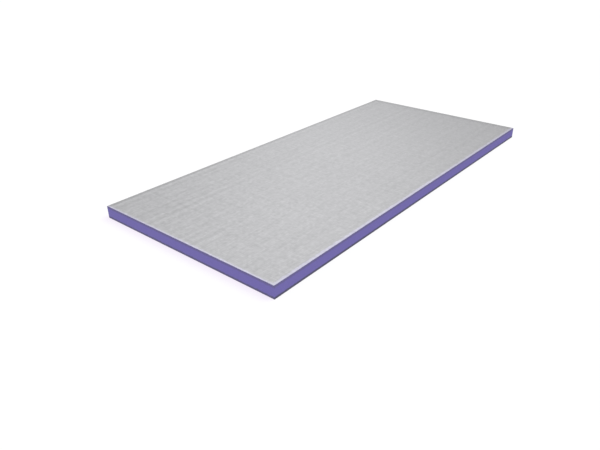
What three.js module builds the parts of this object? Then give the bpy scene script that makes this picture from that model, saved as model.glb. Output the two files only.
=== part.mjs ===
// Foam tile backer board, lying flat with its tile face up.
//
// A slab of extruded polystyrene foam, sawn square on all four edges, carries a thin coat of
// polymer-modified cement on both faces. Each coat is trowelled through a glass-fibre mesh and
// cured with it as one skin. The coats are trimmed flush with the foam, so the violet core shows
// all round between two thin grey lines.
//
// Millimetres, +Z up. The origin is the centre of the underside. The length runs along X.

import * as THREE from "three";

// Driving dimensions
const boardLength = 1300;
const boardWidth = 600;
const coreThickness = 33.5;
const tileCoatThickness = 0.75;
const backCoatThickness = 0.75;

// Levels of the layers, from the surface that the board lies on upwards
const undersideLevel = 0;
const coreBottomLevel = undersideLevel + backCoatThickness;
const coreTopLevel = coreBottomLevel + coreThickness;
const tileFaceLevel = coreTopLevel + tileCoatThickness;

// Violet extruded polystyrene, its cells cut open by the saw
function foam() {
  return new THREE.MeshStandardMaterial({ color: 0x746bab, roughness: 0.75, metalness: 0 });
}

// Light grey cement, dry and matt
function cement() {
  return new THREE.MeshStandardMaterial({ color: 0xc1c1c3, roughness: 0.85, metalness: 0 });
}

// The outline that all layers share, because the finished board is trimmed in one cut
function boardOutline() {
  const halfLength = boardLength / 2;
  const halfWidth = boardWidth / 2;
  return new THREE.Shape([
    new THREE.Vector2(-halfLength, -halfWidth),
    new THREE.Vector2(halfLength, -halfWidth),
    new THREE.Vector2(halfLength, halfWidth),
    new THREE.Vector2(-halfLength, halfWidth),
  ]);
}

// A flat layer between two levels. Each vertex is set exactly on its level, so that layers bonded
// to each other meet on one plane, with neither a gap nor an overlap.
function layer(name, bottomLevel, topLevel, material) {
  const thickness = topLevel - bottomLevel;
  const geometry = new THREE.ExtrudeGeometry(boardOutline(), {
    depth: thickness,
    bevelEnabled: false,
  });
  const position = geometry.getAttribute("position");
  for (let i = 0; i < position.count; i += 1) {
    const isTop = position.getZ(i) > thickness / 2;
    position.setZ(i, isTop ? topLevel : bottomLevel);
  }
  const mesh = new THREE.Mesh(geometry, material);
  mesh.name = name;
  return mesh;
}

const backerBoard = new THREE.Group();
backerBoard.name = "foam_tile_backer_board";
backerBoard.add(
  layer("back_coat", undersideLevel, coreBottomLevel, cement()),
  layer("foam_core", coreBottomLevel, coreTopLevel, foam()),
  layer("tile_coat", coreTopLevel, tileFaceLevel, cement()),
);

export default backerBoard;
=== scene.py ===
"""Foam tile backer board: a violet foam core between two cement coats with a glass mesh in each.

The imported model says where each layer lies. Every layer is modelled again here with the surface of
the real one: foam cut by a saw, cement trowelled on thinly, and woven glass yarns that stand out of
the cement as a fine relief. All lengths are in metres.
"""

import logging
import math
from dataclasses import dataclass
from enum import Enum
from typing import Union

import bmesh
import bpy
import numpy as np
from bmesh.types import BMEdge, BMesh, BMFace, BMVert
from bpy.types import ID, Collection, Material, Node, NodeTree, Object, World
from bpy.types import NodeSocket as Socket
from mathutils import Matrix, Quaternion, Vector, noise


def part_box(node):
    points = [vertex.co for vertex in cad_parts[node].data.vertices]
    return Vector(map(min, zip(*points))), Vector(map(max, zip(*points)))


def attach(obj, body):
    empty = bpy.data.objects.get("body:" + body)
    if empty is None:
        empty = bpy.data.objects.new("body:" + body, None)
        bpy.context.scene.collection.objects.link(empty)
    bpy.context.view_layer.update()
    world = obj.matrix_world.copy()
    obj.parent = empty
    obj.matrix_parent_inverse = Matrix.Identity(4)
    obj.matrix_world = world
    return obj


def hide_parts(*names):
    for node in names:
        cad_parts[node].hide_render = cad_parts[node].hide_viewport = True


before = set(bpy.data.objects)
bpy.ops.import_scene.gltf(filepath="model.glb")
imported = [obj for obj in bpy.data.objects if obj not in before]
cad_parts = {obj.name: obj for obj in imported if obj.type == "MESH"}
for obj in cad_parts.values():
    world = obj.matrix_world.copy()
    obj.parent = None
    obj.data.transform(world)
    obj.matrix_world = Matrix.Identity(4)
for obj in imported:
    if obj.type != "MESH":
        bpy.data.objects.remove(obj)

MM = 0.001
BODY = "root"
WHITE = (1.0, 1.0, 1.0, 1.0)

LOG = logging.getLogger("backer_board")

Colour = tuple[float, float, float, float]
Triple = tuple[float, float, float]
Sockets = dict[str, Socket]
Feed = Union[Socket, float, Colour, Triple]


class Side(Enum):
    """The face of the board that a coat is on. The value is the way that the face looks along Z."""

    TILE = 1
    BACK = -1


class Run(Enum):
    """The way that a set of yarns runs. The value is the axis: 0 is along the board, 1 across it."""

    WARP = 0
    WEFT = 1


# Shader tools


class Graph:
    """Adds nodes and links to one shader tree."""

    def __init__(self, tree: NodeTree) -> None:
        """Keeps the tree that the nodes go into, of a material, a world or a node group."""
        self.tree = tree

    def add(self, kind: str, **settings: object) -> Node:
        """Adds one node.

        Args:
            kind: Blender's name for the kind of node.
            **settings: Properties of the node and their values.

        Returns:
            The new node.
        """
        node = self.tree.nodes.new(kind)
        for name, value in settings.items():
            setattr(node, name, value)
        return node

    def feed(self, socket: Socket, value: Feed) -> None:
        """Gives an input socket its value, by a link where it is a socket, or as a constant."""
        if isinstance(value, Socket):
            self.tree.links.new(value, socket)
        else:
            socket.default_value = value

    def math(self, operation: str, *terms: Feed, clamp: bool = False) -> Socket:
        """Works out a number.

        Args:
            operation: Blender's name for the operation.
            *terms: One to three terms, each a socket or a number.
            clamp: Whether the result stays between 0 and 1.

        Returns:
            The result's socket.
        """
        node = self.add("ShaderNodeMath", operation=operation, use_clamp=clamp)
        for socket, term in zip(node.inputs, terms):
            self.feed(socket, term)
        return node.outputs[0]

    def scaled(self, vector: Feed, factor: Feed) -> Socket:
        """Multiplies a vector or a colour by a number."""
        node = self.add("ShaderNodeVectorMath", operation="SCALE")
        self.feed(node.inputs[0], vector)
        self.feed(node.inputs["Scale"], factor)
        return node.outputs[0]

    def sized(self, vector: Feed, size: Feed) -> Socket:
        """Divides a place by a length, which becomes one unit of it."""
        return self.scaled(vector, self.math("DIVIDE", 1.0, size))

    def split(self, vector: Feed) -> tuple[Socket, ...]:
        """Returns the sockets of a vector's X, Y and Z."""
        node = self.add("ShaderNodeSeparateXYZ")
        self.feed(node.inputs[0], vector)
        return tuple(node.outputs)

    def joined(self, *parts: Feed) -> Socket:
        """Puts a vector together from its X, Y and Z."""
        node = self.add("ShaderNodeCombineXYZ")
        for socket, part in zip(node.inputs, parts):
            self.feed(socket, part)
        return node.outputs[0]

    def stretched(self, vector: Feed, *lengths: Feed) -> Socket:
        """Divides each axis of a place by a length of its own."""
        axes = zip(self.split(vector), lengths)
        return self.joined(*(self.math("DIVIDE", part, length) for part, length in axes))

    def noise(self, vector: Feed, detail: float = 2.0, roughness: float = 0.5) -> Socket:
        """Adds smooth noise between 0 and 1, whose features are about one unit of the vector.

        Args:
            vector: The place, already scaled.
            detail: How many finer layers are added.
            roughness: How strong the finer layers are.

        Returns:
            The noise value's socket.
        """
        node = self.add("ShaderNodeTexNoise", noise_dimensions="3D")
        self.feed(node.inputs["Vector"], vector)
        node.inputs["Scale"].default_value = 1.0
        node.inputs["Detail"].default_value = detail
        node.inputs["Roughness"].default_value = roughness
        return node.outputs["Fac"]

    def cells(self, vector: Feed, size: Feed) -> Node:
        """Adds a Voronoi pattern, whose cells are about as wide as size."""
        node = self.add("ShaderNodeTexVoronoi", feature="F1")
        node.inputs["Scale"].default_value = 1.0
        self.feed(node.inputs["Vector"], self.sized(vector, size))
        return node

    def swing(self, value: Feed, strength: Feed) -> Socket:
        """Turns a value between 0 and 1 into a swing about 0 that is as wide as strength."""
        return self.math("MULTIPLY", self.math("SUBTRACT", value, 0.5), strength)

    def ramp(self, value: Feed, low: Feed, high: Feed) -> Socket:
        """Maps a value smoothly, to 0 at low and below and to 1 at high and above."""
        node = self.add("ShaderNodeMapRange", interpolation_type="SMOOTHSTEP")
        for name, part in (("Value", value), ("From Min", low), ("From Max", high)):
            self.feed(node.inputs[name], part)
        return node.outputs["Result"]

    def ragged(self, vector: Feed, size: Feed) -> Socket:
        """Adds a factor of about 1 that makes a border ragged."""
        return self.math("ADD", self.noise(self.sized(vector, size), detail=3.0, roughness=0.6), 0.5)

    def faded(self, way: Feed, border: Feed, plateau: float) -> Socket:
        """Makes a mask that is 1 along an edge, over a share of the way to its border, and then fades."""
        start = self.math("MULTIPLY", border, plateau)
        return self.math("SUBTRACT", 1.0, self.ramp(way, start, border))

    def mixed(self, share: Feed, base: Feed, other: Feed) -> Socket:
        """Mixes two colours, where share is how much of the other one there is."""
        node = self.add("ShaderNodeMix", data_type="RGBA")
        colours = [socket for socket in node.inputs if socket.type == "RGBA"]
        self.feed(node.inputs["Factor"], share)
        for socket, colour in zip(colours, (base, other)):
            self.feed(socket, colour)
        return next(socket for socket in node.outputs if socket.type == "RGBA")

    def bump(self, height: Feed, depth: float) -> Socket:
        """Turns a height into a surface normal, where a height of 1 stands for the depth."""
        node = self.add("ShaderNodeBump")
        node.inputs["Strength"].default_value = 1.0
        node.inputs["Distance"].default_value = depth
        self.feed(node.inputs["Height"], height)
        return node.outputs["Normal"]


def emptied(owner: Union[Material, World]) -> Graph:
    """Returns the graph of a material or a world, with no node left in it."""
    owner.use_nodes = True
    owner.node_tree.nodes.clear()
    return Graph(owner.node_tree)


@dataclass(frozen=True)
class Port:
    """One named input or output of an effect."""

    name: str
    default: float = 0.0
    is_vector: bool = False


class Effect:
    """A surface effect kept as one shader node group, which any material can place."""

    title: str = "effect"
    takes: tuple[Port, ...] = ()
    gives: tuple[Port, ...] = ()

    def wire(self, graph: Graph, given: Sockets) -> dict[str, Feed]:
        """Works out the outputs inside the group.

        Args:
            graph: The group's graph.
            given: The sockets of the inputs, by name.

        Returns:
            The value of each output, by name.
        """
        raise NotImplementedError

    def tree(self) -> NodeTree:
        """Returns the group's tree, which is made the first time."""
        made = bpy.data.node_groups.get(self.title)
        if made is not None:
            return made
        made = bpy.data.node_groups.new(self.title, "ShaderNodeTree")
        for ports, way in ((self.takes, "INPUT"), (self.gives, "OUTPUT")):
            for port in ports:
                kind = "NodeSocketVector" if port.is_vector else "NodeSocketFloat"
                socket = made.interface.new_socket(port.name, in_out=way, socket_type=kind)
                if not port.is_vector:
                    socket.default_value = port.default
        graph = Graph(made)
        inside = graph.add("NodeGroupInput")
        outside = graph.add("NodeGroupOutput")
        results = self.wire(graph, {port.name: inside.outputs[port.name] for port in self.takes})
        for name, value in results.items():
            graph.feed(outside.inputs[name], value)
        return made

    def place(self, graph: Graph, vector: Feed, **values: float) -> Sockets:
        """Places the group in a material.

        Args:
            graph: The material's graph.
            vector: The place on the surface.
            **values: Values of the other inputs, by name in lower case with _ for a space.

        Returns:
            The sockets of its outputs, by name.
        """
        node = graph.add("ShaderNodeGroup", node_tree=self.tree(), label=self.title)
        graph.feed(node.inputs["Vector"], vector)
        for name, value in values.items():
            node.inputs[name.replace("_", " ").title()].default_value = value
        return {port.name: node.outputs[port.name] for port in self.gives}


PLACE = Port("Vector", is_vector=True)


class WovenStreaks(Effect):
    """The tone of single yarns and of the cloth's repeat, which shows through the thin cement.

    One repeat of the cloth holds a few broad bands and some fine ones, which swell and fade once in
    it. The fine bands are strong in the corner between the board's -X and +Y sides, where x less y is
    below NEAR_UNTIL, and weak where it is above FAR_FROM. The shares of the yarns, slubs, bunches and
    flecks say how much of the contrast each gets.
    """

    title = "Woven streaks"
    takes = (
        PLACE,
        Port("Warp Pitch", 5.77 * MM),
        Port("Weft Pitch", 5.75 * MM),
        Port("Warp Contrast", 0.1),
        Port("Weft Contrast", 0.08),
        Port("Slub Length", 32 * MM),
        Port("Bunch Width", 9 * MM),
        Port("Bunch Length", 700 * MM),
        Port("Fleck Size", 9 * MM),
        Port("Warp Repeat", 166 * MM),
        Port("Weft Repeat", 162 * MM),
        Port("Half Length", 0.65),
        Port("Fade", 0.2),
    )
    gives = (Port("Tone", 1.0),)

    SEED_STEP = 37.0
    YARN_SHARE = 0.18
    SLUB_SHARE = 1.3
    BUNCH_SHARE = 0.15
    FLECK_SHARE = 1.4
    NEAR_UNTIL = -0.57
    FAR_FROM = -0.43
    BROAD_BANDS = 4
    BROAD_CREST = -10 * MM
    BROAD_STRENGTH = 0.012
    FINE_BANDS = 6
    FINE_CREST = 6 * MM
    FINE_STRENGTH = 0.03
    FINE_FAR_SHARE = 0.3
    SWELL_CREST = -35 * MM
    SWELL_SHARE = 0.6
    WEFT_SHARE = 0.5

    def banded(self, graph: Graph, across: Feed, repeat: Feed, count: int, crest: float) -> Socket:
        """Works out even bands, count of them in a repeat, as a swing between -1 and 1."""
        turns = graph.math("DIVIDE", graph.math("SUBTRACT", across, crest), repeat)
        return graph.math("COSINE", graph.math("MULTIPLY", turns, 2 * math.pi * count))

    def repeated(self, graph: Graph, given: Sockets, run: Run) -> Socket:
        """Works out the bands of the cloth's repeat, as a swing about 0.

        Args:
            graph: The group's graph.
            given: The sockets of the inputs, by name.
            run: Which set of yarns.

        Returns:
            The swing's socket.
        """
        axes = graph.split(given["Vector"])
        across = axes[1 - run.value]
        repeat = given[f"{run.name.title()} Repeat"]
        broad = self.banded(graph, across, repeat, self.BROAD_BANDS, self.BROAD_CREST)
        fine = self.banded(graph, across, repeat, self.FINE_BANDS, self.FINE_CREST)
        swell = self.banded(graph, across, repeat, 1, self.SWELL_CREST)
        swollen = graph.math("MULTIPLY", fine, graph.math("MULTIPLY_ADD", swell, self.SWELL_SHARE, 1.0))
        far = graph.ramp(graph.math("SUBTRACT", axes[0], axes[1]), self.NEAR_UNTIL, self.FAR_FROM)
        share = graph.math("MULTIPLY_ADD", far, self.FINE_FAR_SHARE - 1.0, 1.0)
        fine_tone = graph.math("MULTIPLY", swollen, graph.math("MULTIPLY", share, self.FINE_STRENGTH))
        total = graph.math("MULTIPLY_ADD", broad, self.BROAD_STRENGTH, fine_tone)
        return graph.math("MULTIPLY", total, 1.0 if run is Run.WARP else self.WEFT_SHARE)

    def one_run(self, graph: Graph, given: Sockets, run: Run) -> Socket:
        """Works out the tone of one set of yarns, as a swing about 0.

        Args:
            graph: The group's graph.
            given: The sockets of the inputs, by name.
            run: Which set of yarns.

        Returns:
            The swing's socket.
        """
        title = run.name.title()
        axes = graph.split(given["Vector"])
        along = axes[run.value]
        across = axes[1 - run.value]
        seed = self.SEED_STEP * (run.value + 1)
        counted = graph.math("FLOOR", graph.math("DIVIDE", across, given[f"{title} Pitch"]))
        index = graph.math("ADD", counted, seed)
        yarn = graph.add("ShaderNodeTexWhiteNoise", noise_dimensions="1D")
        graph.feed(yarn.inputs["W"], index)
        slub = graph.noise(graph.joined(graph.math("DIVIDE", along, given["Slub Length"]), index, seed))
        bunch_along = graph.math("DIVIDE", along, given["Bunch Length"])
        bunch_across = graph.math("DIVIDE", across, given["Bunch Width"])
        bunch = graph.noise(graph.joined(bunch_along, bunch_across, seed))
        total = graph.swing(yarn.outputs["Value"], self.YARN_SHARE)
        for value, share in ((slub, self.SLUB_SHARE), (bunch, self.BUNCH_SHARE)):
            total = graph.math("ADD", total, graph.swing(value, share))
        return graph.math("MULTIPLY", total, given[f"{title} Contrast"])

    def wire(self, graph: Graph, given: Sockets) -> dict[str, Feed]:
        """Adds the swings of the yarns and flecks, which fade along the board, and the repeat to 1."""
        place = graph.sized(given["Vector"], given["Fleck Size"])
        flecks = graph.noise(place, detail=1.0, roughness=0.4)
        total = graph.swing(flecks, graph.math("MULTIPLY", given["Warp Contrast"], self.FLECK_SHARE))
        for run in Run:
            total = graph.math("ADD", total, self.one_run(graph, given, run))
        way = graph.math("DIVIDE", graph.split(given["Vector"])[0], given["Half Length"])
        strength = graph.math("SUBTRACT", 1.0, graph.math("MULTIPLY", way, given["Fade"]))
        tone = graph.math("MULTIPLY_ADD", total, strength, 1.0)
        for run in Run:
            tone = graph.math("ADD", tone, self.repeated(graph, given, run))
        return {"Tone": tone}


class MineralGrain(Effect):
    """Sand grains, cloudy patches and pinholes, as in cement, with painted shade in the pinholes."""

    title = "Mineral grain"
    takes = (
        PLACE,
        Port("Grain Size", 0.5 * MM),
        Port("Patch Size", 90 * MM),
        Port("Pinhole Spacing", 6 * MM),
        Port("Contrast", 0.05),
    )
    gives = (Port("Tone", 1.0), Port("Height", 0.5))

    PINHOLE_FLOOR = 0.036
    PINHOLE_RADIUS = 0.09

    def wire(self, graph: Graph, given: Sockets) -> dict[str, Feed]:
        """Mixes fine grain, wide patches and pinholes into a tone and a height."""
        place = given["Vector"]
        contrast = given["Contrast"]
        grain = graph.noise(graph.sized(place, given["Grain Size"]), detail=3.0, roughness=0.6)
        patch = graph.noise(graph.sized(place, given["Patch Size"]))
        holes = graph.cells(place, given["Pinhole Spacing"])
        filled = graph.ramp(holes.outputs["Distance"], self.PINHOLE_FLOOR, self.PINHOLE_RADIUS)
        swing = graph.math("ADD", graph.swing(grain, contrast), graph.swing(patch, contrast))
        # Painted shade in the pinholes.
        pinhole_shade = graph.math("MULTIPLY", graph.math("SUBTRACT", 1.0, filled), contrast)
        tone = graph.math("SUBTRACT", graph.math("ADD", swing, 1.0), pinhole_shade)
        return {"Tone": tone, "Height": graph.math("MULTIPLY", grain, filled)}


class ClosedCells(Effect):
    """The cut cells of extruded foam: tiny domes, each of its own tone."""

    title = "Closed cells"
    takes = (PLACE, Port("Cell Size", 0.6 * MM), Port("Contrast", 0.1))
    gives = (Port("Tone", 1.0), Port("Height", 0.5))

    def wire(self, graph: Graph, given: Sockets) -> dict[str, Feed]:
        """Makes domes and tones from the cells of a Voronoi pattern."""
        cells = graph.cells(given["Vector"], given["Cell Size"])
        shade = graph.split(cells.outputs["Color"])[0]
        tone = graph.math("ADD", graph.swing(shade, given["Contrast"]), 1.0)
        return {"Tone": tone, "Height": graph.math("SUBTRACT", 1.0, cells.outputs["Distance"])}


class SawLines(Effect):
    """Fine lines that a blade leaves along a cut edge, all the way round the board."""

    title = "Saw lines"
    takes = (PLACE, Port("Line Width", 0.7 * MM), Port("Line Length", 120 * MM), Port("Contrast", 0.04))
    gives = (Port("Tone", 1.0), Port("Height", 0.5))

    def wire(self, graph: Graph, given: Sockets) -> dict[str, Feed]:
        """Stretches noise along the edges and keeps it narrow in height."""
        length = given["Line Length"]
        stretched = graph.stretched(given["Vector"], length, length, given["Line Width"])
        line = graph.noise(stretched, detail=3.0, roughness=0.65)
        return {"Tone": graph.math("ADD", graph.swing(line, given["Contrast"]), 1.0), "Height": line}


class PaintedEdgeLight(Effect):
    """Masks that are 1 along the board's outline and fade inwards, with a ragged border.

    The first mask is a painted highlight along the -X and -Y edges, and the second painted shade
    along the +X and +Y edges. The third is a dark line at the coat's cut edge, a band along the -X and
    -Y edges and a thin line along the other two.
    """

    title = "Trimmed edge"
    takes = (
        PLACE,
        Port("Half Length", 0.65),
        Port("Half Width", 0.3),
        Port("Fresh End Reach", 7.5 * MM),
        Port("Fresh Side Reach", 11 * MM),
        Port("Old End Reach", 26 * MM),
        Port("Old Side Reach", 16 * MM),
        Port("Worn Width", 1.2 * MM),
        Port("Rim Width", 0.12 * MM),
        Port("Ragged Size", 8 * MM),
    )
    gives = (Port("Fresh", 0.0), Port("Old", 0.0), Port("Rim", 0.0))

    PLATEAU = 0.6

    def wire(self, graph: Graph, given: Sockets) -> dict[str, Feed]:
        """Measures the way to the edges of each kind, and breaks the borders up with noise."""
        x, y, _ = graph.split(given["Vector"])
        raggedness = graph.ragged(given["Vector"], given["Ragged Size"])
        masks = {}
        nearest = {}
        # Painted highlight along the -X and -Y edges, and painted shade along the +X and +Y edges.
        for name, operation in (("Fresh", "ADD"), ("Old", "SUBTRACT")):
            ways = {
                "End": graph.math(operation, given["Half Length"], x),
                "Side": graph.math(operation, given["Half Width"], y),
            }
            bands = []
            for part, way in ways.items():
                border = graph.math("MULTIPLY", given[f"{name} {part} Reach"], raggedness)
                bands.append(graph.faded(way, border, self.PLATEAU))
            masks[name] = graph.math("MAXIMUM", *bands)
            nearest[name] = graph.math("MINIMUM", *ways.values())
        # A dark band along the -X and -Y edges, and a thin dark line along the +X and +Y edges.
        near_band_reach = graph.math("MULTIPLY", given["Worn Width"], raggedness)
        near_band = graph.math("LESS_THAN", nearest["Fresh"], near_band_reach)
        rim = graph.math("LESS_THAN", nearest["Old"], given["Rim Width"])
        masks["Rim"] = graph.math("MAXIMUM", near_band, rim)
        return masks


class BondLine(Effect):
    """Ragged masks along the foam's upper and lower rims; the lower one carries painted shade."""

    title = "Bond line"
    takes = (
        PLACE,
        Port("Low", 0.75 * MM),
        Port("High", 34.25 * MM),
        Port("Reach", 7 * MM),
        Port("Ragged Size", 6 * MM),
    )
    gives = (Port("Upper", 0.0), Port("Lower", 0.0))

    PLATEAU = 0.5

    def wire(self, graph: Graph, given: Sockets) -> dict[str, Feed]:
        """Measures the way to each rim, and breaks the border up with noise."""
        z = graph.split(given["Vector"])[2]
        raggedness = graph.ragged(given["Vector"], given["Ragged Size"])
        border = graph.math("MULTIPLY", given["Reach"], raggedness)
        ways = {
            "Upper": graph.math("SUBTRACT", given["High"], z),
            "Lower": graph.math("SUBTRACT", z, given["Low"]),
        }
        return {name: graph.faded(way, border, self.PLATEAU) for name, way in ways.items()}


class CementDust(Effect):
    """A mask of thin scattered dust, for the pale film that trimming leaves."""

    title = "Cement dust"
    takes = (PLACE, Port("Cloud Size", 25 * MM), Port("Speck Size", 0.8 * MM), Port("Cover", 0.3))
    gives = (Port("Mask", 0.0),)

    CLOUD_RANGE = (0.4, 0.75)
    SPECK_RANGE = (0.35, 0.7)

    def wire(self, graph: Graph, given: Sockets) -> dict[str, Feed]:
        """Breaks wide clouds up into specks."""
        place = given["Vector"]
        clouds = graph.noise(graph.sized(place, given["Cloud Size"]), detail=3.0, roughness=0.55)
        specks = graph.noise(graph.sized(place, given["Speck Size"]))
        shown = graph.ramp(specks, *self.SPECK_RANGE)
        film = graph.math("MULTIPLY", graph.ramp(clouds, *self.CLOUD_RANGE), shown)
        return {"Mask": graph.math("MULTIPLY", film, given["Cover"], clamp=True)}


# Layers


@dataclass(frozen=True)
class Layer:
    """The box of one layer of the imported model."""

    low: Vector
    high: Vector

    @classmethod
    def of(cls, node: str) -> "Layer":
        """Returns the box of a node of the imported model."""
        low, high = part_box(node)
        return cls(low, high)

    @property
    def length(self) -> float:
        """The size along X."""
        return self.high.x - self.low.x

    @property
    def width(self) -> float:
        """The size along Y."""
        return self.high.y - self.low.y

    @property
    def height(self) -> float:
        """The size along Z."""
        return self.high.z - self.low.z


# Finishes


@dataclass(frozen=True)
class Finish:
    """What every finish has: a name, and the box of the piece for effects that follow its edges."""

    name: str
    box: Layer

    def start(self) -> tuple[Material, Graph, Socket, Node]:
        """Makes an empty material.

        Returns:
            The material, its graph, the socket of the place on the object, and the Principled BSDF.
        """
        material = bpy.data.materials.new(self.name)
        graph = emptied(material)
        place = graph.add("ShaderNodeTexCoord").outputs["Object"]
        surface = graph.add("ShaderNodeBsdfPrincipled")
        output = graph.add("ShaderNodeOutputMaterial")
        graph.feed(output.inputs["Surface"], surface.outputs["BSDF"])
        return material, graph, place, surface


@dataclass(frozen=True)
class CementFinish(Finish):
    """Light grey cement with the weave's streaks, and a painted highlight and shade at its edges."""

    warp_pitch: float
    weft_pitch: float
    colour: Colour = (0.45, 0.45, 0.461, 1.0)
    # Painted highlight along the -X and -Y edges.
    near_highlight_colour: Colour = (0.535, 0.527, 0.62, 1.0)
    # Painted shade along the +X and +Y edges.
    far_shade_colour: Colour = (0.40, 0.40, 0.41, 1.0)
    rim_colour: Colour = (0.165, 0.148, 0.30, 1.0)
    paleness: float = 0.975
    roughness: float = 0.85
    roughness_swing: float = 0.1
    gloss: float = 0.3
    warp_contrast: float = 0.17
    weft_contrast: float = 0.12
    grain_contrast: float = 0.05
    grain_depth: float = 0.03 * MM

    def coloured(self, graph: Graph, place: Feed, grain_tone: Feed) -> Socket:
        """Works out the colour.

        Args:
            graph: The material's graph.
            place: The place on the object.
            grain_tone: The tone of the mineral grain.

        Returns:
            The colour's socket.
        """
        half_length, half_width = self.box.length / 2, self.box.width / 2
        edge = PaintedEdgeLight().place(graph, place, half_length=half_length, half_width=half_width)
        streaks = WovenStreaks().place(
            graph,
            place,
            warp_pitch=self.warp_pitch,
            weft_pitch=self.weft_pitch,
            warp_contrast=self.warp_contrast,
            weft_contrast=self.weft_contrast,
            half_length=half_length,
        )
        # Painted shade along the +X and +Y edges, then a painted highlight along the -X and -Y edges.
        far_shaded = graph.mixed(edge["Old"], self.colour, self.far_shade_colour)
        cut = graph.mixed(edge["Fresh"], far_shaded, self.near_highlight_colour)
        rimmed = graph.mixed(edge["Rim"], cut, self.rim_colour)
        tone = graph.math("MULTIPLY", streaks["Tone"], grain_tone)
        return graph.scaled(rimmed, graph.math("MULTIPLY", tone, self.paleness))

    def relief(self, graph: Graph, place: Feed, grain_height: Feed) -> Feed:
        """Returns the height of the fine relief, which is the grain's on plain cement."""
        return grain_height

    def material(self) -> Material:
        """Returns a new material of this finish."""
        material, graph, place, surface = self.start()
        grain = MineralGrain().place(graph, place, contrast=self.grain_contrast)
        graph.feed(surface.inputs["Base Color"], self.coloured(graph, place, grain["Tone"]))
        rough = graph.math("ADD", graph.swing(grain["Height"], self.roughness_swing), self.roughness)
        graph.feed(surface.inputs["Roughness"], rough)
        height = self.relief(graph, place, grain["Height"])
        graph.feed(surface.inputs["Normal"], graph.bump(height, self.grain_depth))
        surface.inputs["Specular IOR Level"].default_value = self.gloss
        return material


@dataclass(frozen=True)
class YarnFinish(CementFinish):
    """Glass yarn under a rubbed film of cement: a little paler, with filaments along the yarn."""

    paleness: float = 1.045
    run: Run = Run.WARP
    filament_width: float = 0.12 * MM
    filament_length: float = 6 * MM

    def relief(self, graph: Graph, place: Feed, grain_height: Feed) -> Feed:
        """Adds the filaments, as noise that is stretched along the yarn, to the grain's height."""
        lengths = [self.filament_width] * 3
        lengths[self.run.value] = self.filament_length
        filaments = graph.noise(graph.stretched(place, *lengths), detail=1.0)
        return graph.math("ADD", filaments, grain_height)


@dataclass(frozen=True)
class FoamFinish(Finish):
    """Violet extruded foam, cut open by the saw, darker at its upper rim, with painted shade at its foot.
    """

    colour: Colour = (0.192, 0.16, 0.482, 1.0)
    dust_colour: Colour = (0.45, 0.44, 0.52, 1.0)
    upper_rim_colour: Colour = (0.163, 0.141, 0.337, 1.0)
    # Painted shade along the lower rim: on the ends, and darker on the long -Y side.
    end_foot_shade_colour: Colour = (0.127, 0.116, 0.24, 1.0)
    side_foot_shade_colour: Colour = (0.097, 0.092, 0.16, 1.0)
    roughness: float = 0.7
    roughness_swing: float = 0.15
    gloss: float = 0.25
    wall_depth: float = 1 * MM
    rim_reach: float = 7 * MM
    cell_size: float = 0.6 * MM
    cell_contrast: float = 0.06
    line_contrast: float = 0.03
    patch_contrast: float = 0.02
    dust_cover: float = 0.04
    cell_depth: float = 0.04 * MM
    line_depth: float = 0.05 * MM

    def coloured(self, graph: Graph, place: Feed) -> Socket:
        """Works out the colour before the cells and the saw lines tone it.

        The painted shade along the lower rim is darker on the long -Y side than on the others.

        Args:
            graph: The material's graph.
            place: The place on the object.

        Returns:
            The colour's socket.
        """
        low, high = self.box.low, self.box.high
        dust = CementDust().place(graph, place, cover=self.dust_cover)["Mask"]
        rim = BondLine().place(graph, place, low=low.z, high=high.z, reach=self.rim_reach)
        dusted = graph.mixed(dust, self.colour, self.dust_colour)
        topped = graph.mixed(rim["Upper"], dusted, self.upper_rim_colour)
        # Painted shade along the lower rim, darker on the long -Y side.
        on_side = graph.math("LESS_THAN", graph.split(place)[1], low.y + self.wall_depth)
        shaded_foot = graph.mixed(on_side, self.end_foot_shade_colour, self.side_foot_shade_colour)
        return graph.mixed(rim["Lower"], topped, shaded_foot)

    def material(self) -> Material:
        """Returns a new material of this finish."""
        material, graph, place, surface = self.start()
        cells = ClosedCells().place(graph, place, cell_size=self.cell_size, contrast=self.cell_contrast)
        lines = SawLines().place(graph, place, contrast=self.line_contrast)
        patches = MineralGrain().place(graph, place, contrast=self.patch_contrast)
        tone = graph.math("MULTIPLY", cells["Tone"], lines["Tone"])
        tone = graph.math("MULTIPLY", tone, patches["Tone"])
        graph.feed(surface.inputs["Base Color"], graph.scaled(self.coloured(graph, place), tone))
        rough = graph.math("ADD", graph.swing(cells["Height"], self.roughness_swing), self.roughness)
        graph.feed(surface.inputs["Roughness"], rough)
        line_share = self.line_depth / self.cell_depth
        height = graph.math("MULTIPLY_ADD", lines["Height"], line_share, cells["Height"])
        graph.feed(surface.inputs["Normal"], graph.bump(height, self.cell_depth))
        surface.inputs["Specular IOR Level"].default_value = self.gloss
        return material


# Pieces


def new_piece(bm: BMesh, name: str, sharp_from: float = 40.0) -> Object:
    """Makes an object of a finished bmesh, smooth but for its sharp edges.

    Args:
        bm: The bmesh, which is used up.
        name: The piece's name.
        sharp_from: The angle between faces, in degrees, from which an edge is sharp.

    Returns:
        The new object, at the origin.
    """
    bmesh.ops.recalc_face_normals(bm, faces=bm.faces[:])
    mesh = bpy.data.meshes.new(name)
    bm.to_mesh(mesh)
    bm.free()
    mesh.shade_smooth()
    mesh.set_sharp_from_angle(angle=math.radians(sharp_from))
    piece = bpy.data.objects.new(name, mesh)
    bpy.context.scene.collection.objects.link(piece)
    return piece


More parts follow.
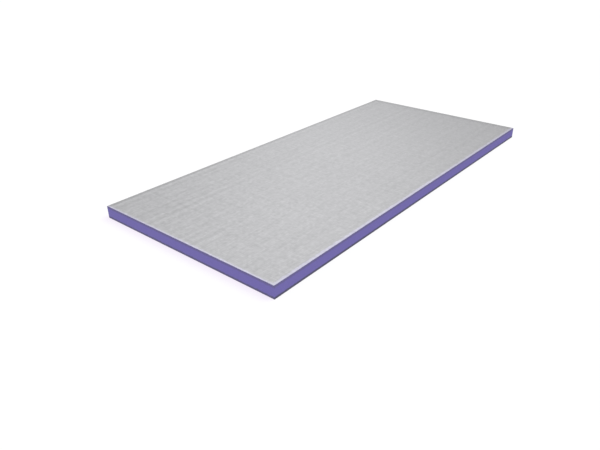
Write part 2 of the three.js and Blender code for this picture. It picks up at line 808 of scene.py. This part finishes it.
def pushed_out(bm: BMesh, cap: BMFace, way: Vector, is_first: bool) -> BMFace:
    """Makes a solid longer at one end.

    Args:
        bm: The bmesh that the solid is in.
        cap: The face at the end.
        way: How far the end moves.
        is_first: Whether the solid is still a lone face, which then stays as its other end.

    Returns:
        The face at the new end.
    """
    grown = bmesh.ops.extrude_face_region(bm, geom=[cap])["geom"]
    new_cap = next(part for part in grown if isinstance(part, BMFace))
    bmesh.ops.translate(bm, verts=new_cap.verts[:], vec=way)
    if not is_first:
        bmesh.ops.delete(bm, geom=[cap], context="FACES_ONLY")
    return new_cap


def made_plain(piece: Object) -> None:
    """Turns a piece's modifiers into mesh."""
    bpy.context.view_layer.update()
    graph = bpy.context.evaluated_depsgraph_get()
    mesh = bpy.data.meshes.new_from_object(piece.evaluated_get(graph))
    piece.modifiers.clear()
    piece.data = mesh


def finish_piece(piece: Object, material: Material, node: str) -> None:
    """Gives a piece its material and its place in the frame.

    Args:
        piece: The piece.
        material: Its material.
        node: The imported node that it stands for.
    """
    piece.data.materials.clear()
    piece.data.materials.append(material)
    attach(piece, BODY)
    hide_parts(node)


@dataclass
class FoamCore:
    """The foam slab, with walls that the saw left very slightly uneven."""

    box: Layer
    corner_radius: float = 0.6 * MM
    wall_step: float = 4 * MM
    wall_rows: int = 12
    unevenness: float = 0.12 * MM
    wave_length: float = 45 * MM
    coarse_share: float = 0.35
    coarse_stretch: float = 3.0
    fine_share: float = 0.25
    fine_stretch: float = 9.0
    fine_count: float = 3.0

    def outline(self, bm: BMesh) -> BMFace:
        """Makes the slab's underside, with softened corners and many points along its sides.

        Args:
            bm: The bmesh to make it in.

        Returns:
            The face.
        """
        size = Matrix.Diagonal((self.box.length / 2, self.box.width / 2, 1.0, 1.0))
        place = Matrix.Translation((0.0, 0.0, self.box.low.z))
        bmesh.ops.create_grid(bm, x_segments=1, y_segments=1, size=1.0, matrix=place @ size)
        bmesh.ops.bevel(
            bm,
            geom=bm.verts[:],
            offset=self.corner_radius,
            affect="VERTICES",
            segments=3,
            profile=0.5,
            material=-1,
        )
        bmesh.ops.delete(bm, geom=bm.faces[:], context="FACES_ONLY")
        for axis_length in (self.box.length, self.box.width):
            straight = axis_length - 2 * self.corner_radius
            sides = [edge for edge in bm.edges if math.isclose(edge.calc_length(), straight, rel_tol=1e-3)]
            bmesh.ops.subdivide_edges(bm, edges=sides, cuts=round(axis_length / self.wall_step) - 1)
        return bmesh.ops.contextual_create(bm, geom=bm.edges[:])["faces"][0]

    def inward(self, point: Vector) -> float:
        """Returns how far the wall lies behind its true plane at a point, up to the unevenness."""
        coarse = Vector((point.x, point.y, point.z * self.coarse_stretch)) / self.wave_length
        fine = Vector((point.x, point.y, point.z * self.fine_stretch)) / self.wave_length * self.fine_count
        wave = 0.5 + self.coarse_share * noise.noise(coarse) + self.fine_share * noise.noise(fine)
        return self.unevenness * min(max(wave, 0.0), 1.0)

    def build(self) -> Object:
        """Returns the core, whose walls are raised row by row and made uneven."""
        bm = bmesh.new()
        cap = self.outline(bm)
        rise = Vector((0.0, 0.0, self.box.height / self.wall_rows))
        for row in range(self.wall_rows):
            cap = pushed_out(bm, cap, rise, is_first=row == 0)
        half = Vector((self.box.length / 2, self.box.width / 2))
        for vert in bm.verts:
            depth = self.inward(vert.co)
            for axis in (0, 1):
                reach = half[axis] - depth
                vert.co[axis] = min(max(vert.co[axis], -reach), reach)
        ends = [face for face in bm.faces if len(face.verts) > 4]
        bmesh.ops.triangulate(bm, faces=ends, quad_method="BEAUTY", ngon_method="BEAUTY")
        return new_piece(bm, "foam_core_slab")


@dataclass
class CementSkim:
    """The cement of one coat: a thin slab that was trowelled on and trimmed with the board."""

    box: Layer
    side: Side
    yarn_relief: float = 0.16 * MM
    step: float = 6 * MM
    trowel_wave: float = 0.03 * MM
    wave_length: float = 70 * MM
    wave_stretch: float = 2.0
    wave_slice: float = 7.3
    rim_drop: float = 0.2 * MM
    rim_crumbs: float = 180.0
    rim_slice: float = 1.1
    trim_back: float = 0.03 * MM

    def surface_level(self) -> float:
        """Returns the height of the cement's surface between the yarns, for a coat that looks up."""
        return self.box.height - self.yarn_relief

    def uneven(self, point: Vector, on_rim: bool) -> float:
        """Works out how far the surface lies below its level.

        Args:
            point: A point on the surface.
            on_rim: Whether the point is on the trimmed edge, which crumbled a little.

        Returns:
            The depth.
        """
        trowelled = Vector((point.x, point.y * self.wave_stretch, self.wave_slice)) / self.wave_length
        drop = self.trowel_wave * (0.5 + 0.5 * noise.noise(trowelled))
        if on_rim:
            crumbled = Vector((point.x, point.y, self.rim_slice)) * self.rim_crumbs
            drop += self.rim_drop * (0.5 + 0.5 * noise.noise(crumbled))
        return drop

    def build(self) -> Object:
        """Returns the coat, made as if it looked up and turned over for the back."""
        bm = bmesh.new()
        half = Vector((self.box.length / 2 - self.trim_back, self.box.width / 2 - self.trim_back))
        bmesh.ops.create_grid(
            bm,
            x_segments=round(self.box.length / self.step),
            y_segments=round(self.box.width / self.step),
            size=1.0,
            matrix=Matrix.Diagonal((half.x, half.y, 1.0, 1.0)),
        )
        for vert in bm.verts:
            vert.co.z = self.surface_level() - self.uneven(vert.co, vert.is_boundary)
        rim = [edge for edge in bm.edges if edge.is_boundary]
        skirt = bmesh.ops.extrude_edge_only(bm, edges=rim)["geom"]
        for vert in (part for part in skirt if isinstance(part, BMVert)):
            vert.co.z = 0.0
        base = [part for part in skirt if isinstance(part, BMEdge) and part.is_boundary]
        bmesh.ops.triangle_fill(bm, edges=base, use_beauty=True)
        if self.side is Side.BACK:
            bmesh.ops.scale(bm, vec=(1.0, 1.0, -1.0), verts=bm.verts[:])
        bonded = self.box.low.z if self.side is Side.TILE else self.box.high.z
        bmesh.ops.translate(bm, vec=(0.0, 0.0, bonded), verts=bm.verts[:])
        return new_piece(bm, f"{self.side.name.lower()}_cement_skim")


@dataclass
class YarnRun:
    """One set of parallel glass yarns in a coat, which pass over and under the other set."""

    box: Layer
    side: Side
    run: Run
    opening: float = 5 * MM
    between_openings: float = 0.75 * MM
    crown_width: float = 0.8 * MM
    foot_width: float = 2.0 * MM
    thickness: float = 0.26 * MM
    weave_height: float = 0.15 * MM
    prominence: tuple[float, float] = (0.55, 1.0)
    fullness: tuple[float, float] = (0.75, 1.3)
    stray: float = 0.35 * MM
    drift: float = 1.2 * MM
    drift_length: float = 260 * MM
    drift_shares: tuple[float, float] = (0.6, 0.7)
    drift_phases: tuple[float, float] = (0.8, 2.1)
    seed: int = 11

    @property
    def reach(self) -> tuple[float, float]:
        """The board's size along the yarns and across them."""
        sizes = (self.box.length, self.box.width)
        return sizes[self.run.value], sizes[1 - self.run.value]

    def counts(self) -> tuple[int, int]:
        """Returns how many yarns each yarn crosses, and how many yarns there are."""
        pitch = self.opening + self.between_openings
        return tuple(round(size / pitch) for size in self.reach)

    def pitches(self) -> tuple[float, float]:
        """Returns the distance between crossings along a yarn, and between yarns."""
        return tuple(size / count for size, count in zip(self.reach, self.counts()))

    def one_yarn(self) -> BMesh:
        """Returns the first yarn, along X and with one ring of points at each crossing."""
        bm = bmesh.new()
        length, across = self.reach
        crossings = self.counts()[0]
        pitch = self.pitches()[0]
        y = -across / 2 + self.pitches()[1] / 2
        section = (
            (-self.foot_width / 2, -self.thickness),
            (self.foot_width / 2, -self.thickness),
            (self.crown_width / 2, 0.0),
            (-self.crown_width / 2, 0.0),
        )
        ring = [bm.verts.new((-length / 2, y + offset, z)) for offset, z in section]
        cap = bm.faces.new(ring)
        steps = [pitch / 2] + [pitch] * (crossings - 1) + [pitch / 2]
        for number, step in enumerate(steps):
            cap = pushed_out(bm, cap, Vector((step, 0.0, 0.0)), is_first=number == 0)
        return bm

    def woven(self, points: np.ndarray) -> np.ndarray:
        """Bends the straight yarns over and under, and lets them stray a little.

        Args:
            points: The points of all yarns along X, one yarn after the other.

        Returns:
            The new points.
        """
        rng = np.random.default_rng(self.seed + self.run.value)
        length, across = self.reach
        along_pitch, pitch = self.pitches()
        count = self.counts()[1]
        yarn = np.repeat(np.arange(count), len(points) // count)
        x, y, z = points.T
        sign = 1 if self.run is Run.WARP else -1
        crossing = (x + length / 2) / along_pitch - 0.5
        over = sign * np.cos(math.pi * (crossing + yarn))
        # The rings at the two ends of a yarn aren't crossings, so they stay half way up.
        in_end = np.abs(x) > length / 2 - along_pitch / 4
        over = np.where(in_end, 0.0, over)
        prominence = rng.uniform(*self.prominence, count)[yarn]
        z = z - self.weave_height * (1 - prominence * (0.5 + 0.5 * over))
        centre = -across / 2 + (yarn + 0.5) * pitch
        fullness = rng.uniform(*self.fullness, count)[yarn]
        y = centre + (y - centre) * fullness
        y = y + rng.uniform(-self.stray, self.stray, count)[yarn]
        return np.stack([x, y, z], axis=1)

    def drifted(self, points: np.ndarray) -> np.ndarray:
        """Shifts the whole weave in slow waves that die out at the board's edges.

        Args:
            points: The points of all yarns, in the board's own axes.

        Returns:
            The new points.
        """
        x, y = points[:, 0], points[:, 1]
        turn = 2 * math.pi / self.drift_length
        first, second = self.drift_shares
        phase_x, phase_y = self.drift_phases
        hold_x = np.cos(math.pi * x / self.box.length)
        hold_y = np.cos(math.pi * y / self.box.width)
        shift_x = self.drift * hold_x * np.sin(turn * y + phase_x) * np.cos(first * turn * x)
        shift_y = self.drift * hold_y * np.sin(second * turn * x + phase_y) * np.cos(turn * y)
        return points + np.stack([shift_x, shift_y, np.zeros_like(x)], axis=1)

    def build(self) -> Object:
        """Returns one object with all yarns of the set, laid side by side and woven."""
        name = f"{self.side.name.lower()}_mesh_{self.run.name.lower()}"
        piece = new_piece(self.one_yarn(), name)
        rows = piece.modifiers.new("rows", "ARRAY")
        rows.count = self.counts()[1]
        rows.use_relative_offset = False
        rows.use_constant_offset = True
        rows.constant_offset_displace = (0.0, self.pitches()[1], 0.0)
        made_plain(piece)
        mesh = piece.data
        flat = np.empty(len(mesh.vertices) * 3)
        mesh.vertices.foreach_get("co", flat)
        points = self.woven(flat.reshape(-1, 3))
        if self.run is Run.WEFT:
            points = points[:, [1, 0, 2]]
        points = self.drifted(points)
        limit = np.array([self.box.length, self.box.width]) / 2
        points[:, :2] = np.clip(points[:, :2], -limit, limit)
        if self.side is Side.TILE:
            points[:, 2] += self.box.high.z
        else:
            points[:, 2] = self.box.low.z - points[:, 2]
        mesh.vertices.foreach_set("co", points.ravel())
        turned_over = (self.run is Run.WEFT) != (self.side is Side.BACK)
        if turned_over:
            mesh.flip_normals()
        mesh.update()
        return piece


@dataclass
class Coat:
    """One coat of the board: the cement and the two sets of yarns in it."""

    node: str
    side: Side

    def looks(self) -> dict[str, object]:
        """Returns the values in which this coat's finish differs from the plain one."""
        if self.side is Side.TILE:
            return {}
        # The back coat's rim is darker: painted shade along the board's foot.
        return {"rim_colour": (0.118, 0.11, 0.178, 1.0)}

    def build(self) -> list[Object]:
        """Builds and dresses the coat, and returns its pieces."""
        box = Layer.of(self.node)
        runs = {run: YarnRun(box, self.side, run) for run in Run}
        shared = {
            "box": box,
            "warp_pitch": runs[Run.WARP].pitches()[1],
            "weft_pitch": runs[Run.WEFT].pitches()[1],
            **self.looks(),
        }
        label = self.side.name.lower()
        skim = CementSkim(box, self.side).build()
        finish_piece(skim, CementFinish(f"{label}_cement", **shared).material(), self.node)
        pieces = [skim]
        for run, yarns in runs.items():
            piece = yarns.build()
            glass = YarnFinish(f"{label}_{run.name.lower()}_yarn", run=run, **shared)
            finish_piece(piece, glass.material(), self.node)
            pieces.append(piece)
        return pieces


@dataclass
class BackerBoard:
    """The whole board, from the coat that it lies on to the tile face."""

    def build(self) -> list[Object]:
        """Builds every layer, reports each piece and returns them all."""
        box = Layer.of("foam_core")
        core = FoamCore(box).build()
        finish_piece(core, FoamFinish("violet_foam", box).material(), "foam_core")
        pieces = Coat("back_coat", Side.BACK).build() + [core] + Coat("tile_coat", Side.TILE).build()
        for piece in pieces:
            piece.data.calc_loop_triangles()
            LOG.info("%s: %d triangles", piece.name, len(piece.data.loop_triangles))
        return pieces


# Studio


def placed(name: str, data: ID, turned: Quaternion, place: Triple = (0.0, 0.0, 0.0)) -> Object:
    """Makes the object of a light or a camera.

    Args:
        name: Its name.
        data: The light or the camera.
        turned: Its rotation.
        place: Where it stands, which doesn't matter for a sun.

    Returns:
        The new object.
    """
    thing = bpy.data.objects.new(name, data)
    bpy.context.scene.collection.objects.link(thing)
    thing.location = place
    thing.rotation_mode = "QUATERNION"
    thing.rotation_quaternion = turned
    return thing


def heading(azimuth: float, elevation: float) -> Vector:
    """Returns the unit vector at an azimuth from +X and an elevation, both in degrees."""
    turn, tilt = math.radians(azimuth), math.radians(elevation)
    return Vector((math.cos(turn) * math.cos(tilt), math.sin(turn) * math.cos(tilt), math.sin(tilt)))


class Lit(Enum):
    """What a light shines on. The value names the collection that holds it."""

    BOARD = "lit_board"
    FLOOR = "lit_floor"

    def collection(self) -> Collection:
        """Returns the collection, which is made the first time."""
        return bpy.data.collections.get(self.value) or bpy.data.collections.new(self.value)


@dataclass(frozen=True)
class Softbox:
    """A soft rectangular light that is aimed at a point and shines on the board only."""

    name: str
    place: Triple
    aim: Triple
    length: float
    width: float
    turn: float
    power: float

    def build(self) -> Object:
        """Returns the light's object."""
        light = bpy.data.lights.new(self.name, "AREA")
        light.shape = "RECTANGLE"
        light.size = self.length
        light.size_y = self.width
        light.energy = self.power
        way = Vector(self.aim) - Vector(self.place)
        roll = Quaternion((0.0, 0.0, 1.0), math.radians(self.turn))
        lamp = placed(self.name, light, way.to_track_quat("-Z", "Y") @ roll, self.place)
        lamp.light_linking.receiver_collection = Lit.BOARD.collection()
        return lamp


@dataclass(frozen=True)
class FloorSun:
    """A wide far light that shines on the floor only, so that the board throws a faint soft shade.

    The light and the floor's own violet glow add up to white, and the shade shows more of the glow.
    """

    name: str = "floor_sun"
    azimuth: float = -35.0
    elevation: float = 57.0
    angle: float = 45.0
    strength: float = 3.2
    colour: Triple = (0.57, 1.0, 0.29)

    def build(self) -> Object:
        """Returns the light's object."""
        light = bpy.data.lights.new(self.name, "SUN")
        light.angle = math.radians(self.angle)
        light.energy = self.strength
        light.color = self.colour
        come_from = heading(self.azimuth, self.elevation)
        lamp = placed(self.name, light, come_from.to_track_quat("Z", "Y"))
        lamp.light_linking.receiver_collection = Lit.FLOOR.collection()
        return lamp


@dataclass(frozen=True)
class Viewpoint:
    """The photograph's view of the board, which looks down along its azimuth."""

    eye: Triple = (-1.3522, -0.9724, 0.6997)
    azimuth: float = 38.535
    elevation: float = 28.58
    lens: float = 33.76
    shift: tuple[float, float] = (-0.0277, 0.0049)

    def build(self) -> Object:
        """Makes the camera, gives it to the scene and returns its object."""
        camera = bpy.data.cameras.new("photo_view")
        camera.lens = self.lens
        camera.shift_x, camera.shift_y = self.shift
        ahead = heading(self.azimuth, -self.elevation)
        viewer = placed("photo_view", camera, ahead.to_track_quat("-Z", "Y"), self.eye)
        bpy.context.scene.camera = viewer
        return viewer


@dataclass(frozen=True)
class Studio:
    """A white floor in even light, and a strip light above that shades the board's face."""

    floor_size: float = 24.0
    floor_colour: Colour = (0.15, 0.15, 0.15, 1.0)
    floor_glow: Colour = (0.84, 0.785, 0.875, 1.0)
    backdrop: float = 1.0
    sky: float = 0.79
    strip: Softbox = Softbox(
        name="strip_above",
        place=(-0.169, -0.034, 0.763),
        aim=(-0.169, -0.034, 0.0),
        length=1.986,
        width=0.2,
        turn=33.5,
        power=4.65,
    )
    sun: FloorSun = FloorSun()

    def floor(self) -> Object:
        """Returns the floor, which takes the board's shade and shows white around it."""
        bm = bmesh.new()
        bmesh.ops.create_grid(bm, x_segments=1, y_segments=1, size=self.floor_size / 2)
        floor = new_piece(bm, "studio_floor")
        material = bpy.data.materials.new("white_floor")
        graph = emptied(material)
        shade = graph.add("ShaderNodeBsdfDiffuse")
        shade.inputs["Color"].default_value = self.floor_colour
        glow = graph.add("ShaderNodeEmission")
        glow.inputs["Color"].default_value = self.floor_glow
        both = graph.add("ShaderNodeAddShader")
        graph.feed(both.inputs[0], shade.outputs[0])
        graph.feed(both.inputs[1], glow.outputs[0])
        graph.feed(graph.add("ShaderNodeOutputMaterial").inputs["Surface"], both.outputs[0])
        floor.data.materials.append(material)
        floor.visible_diffuse = False
        floor.visible_glossy = False
        floor.visible_shadow = False
        return floor

    def world(self) -> None:
        """Makes the even light from all round, with a white backdrop."""
        world = bpy.data.worlds.new("studio")
        graph = emptied(world)
        even, seen = (graph.add("ShaderNodeBackground") for _ in range(2))
        for node, strength in ((even, self.sky), (seen, self.backdrop)):
            node.inputs["Color"].default_value = WHITE
            node.inputs["Strength"].default_value = strength
        chosen = graph.add("ShaderNodeMixShader")
        graph.feed(chosen.inputs[0], graph.add("ShaderNodeLightPath").outputs["Is Camera Ray"])
        graph.feed(chosen.inputs[1], even.outputs[0])
        graph.feed(chosen.inputs[2], seen.outputs[0])
        graph.feed(graph.add("ShaderNodeOutputWorld").inputs["Surface"], chosen.outputs[0])
        bpy.context.scene.world = world

    def build(self, board: list[Object]) -> None:
        """Builds the floor, the even light, the lights and the camera.

        Args:
            board: The board's pieces.
        """
        for piece in board:
            Lit.BOARD.collection().objects.link(piece)
        Lit.FLOOR.collection().objects.link(self.floor())
        self.world()
        for light in (self.strip, self.sun):
            LOG.info("light %s", light.build().name)
        Viewpoint().build()
        bpy.context.scene.view_settings.view_transform = "Standard"


def main() -> None:
    """Builds the studio and the board."""
    logging.basicConfig(level=logging.INFO, format="%(message)s")
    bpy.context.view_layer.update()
    Studio().build(BackerBoard().build())


if __name__ == "__main__":
    main()
